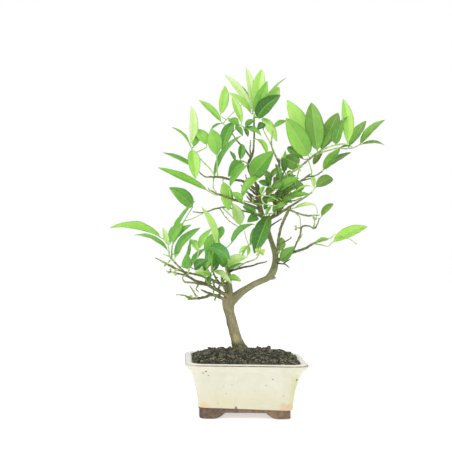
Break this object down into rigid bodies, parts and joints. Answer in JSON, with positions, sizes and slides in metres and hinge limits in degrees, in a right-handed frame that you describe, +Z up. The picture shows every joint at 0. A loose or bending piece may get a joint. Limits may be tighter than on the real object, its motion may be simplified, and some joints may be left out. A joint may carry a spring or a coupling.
{
  "type": "limequat bonsai",
  "caption": "Slender limequat bonsai with pointed leaves on thin twigs, growing in a flared rectangular glazed pot on four corner feet.",
  "frame": {"origin": "under the middle of the bonsai's box, on the surface that the pot stands on", "axes": "+Z up, +X to the right along the pot's length as the bonsai is looked at, +Y away from the viewer"},
  "size_m": [0.4192, 0.1872, 0.5394],
  "materials": {
    "glaze": "glossy cream glaze over brown clay",
    "clay": "bare fired clay",
    "mesh_plastic": "matt",
    "soil": "crumbly potting soil",
    "bark": "ridged bark",
    "leaf": "satin leaf"
  },
  "bodies": {
    "root": {"pot": "glaze", "drain_mesh_left": "mesh_plastic", "drain_mesh_right": "mesh_plastic", "soil": "soil", "trunk": "bark", "spray_left_tip": "leaf", "spray_left_inner": "leaf", "spray_left_center": "leaf", "spray_leader_top": "leaf", "spray_leader_back": "leaf", "spray_leader_front": "leaf", "spray_bud_twig": "leaf", "spray_left_arrow": "leaf", "spray_left_fan": "leaf", "spray_left_mid_tip": "leaf", "spray_left_mid_top": "leaf", "spray_left_hang": "leaf", "spray_left_low_leaf": "leaf", "spray_crown_left": "leaf", "spray_whisker_leaf": "leaf", "spray_upper_left": "leaf", "spray_top_left": "leaf", "spray_crown_side": "leaf", "spray_top": "leaf", "spray_top_right": "leaf", "spray_crown_front": "leaf", "spray_center_hang": "leaf", "spray_center_back": "leaf", "spray_small_center": "leaf", "spray_right_bough": "leaf", "spray_right_pair": "leaf", "spray_right_dark_tip": "leaf", "spray_right_mid_tip": "leaf", "spray_cluster": "leaf", "spray_cluster_left": "leaf", "spray_cluster_top": "leaf", "spray_right_low_tip": "leaf", "spray_zigzag_tip": "leaf", "spray_riser_leaf": "leaf", "spray_fork_leaf": "leaf", "spray_arc": "leaf"}
  },
  "joints": []
}
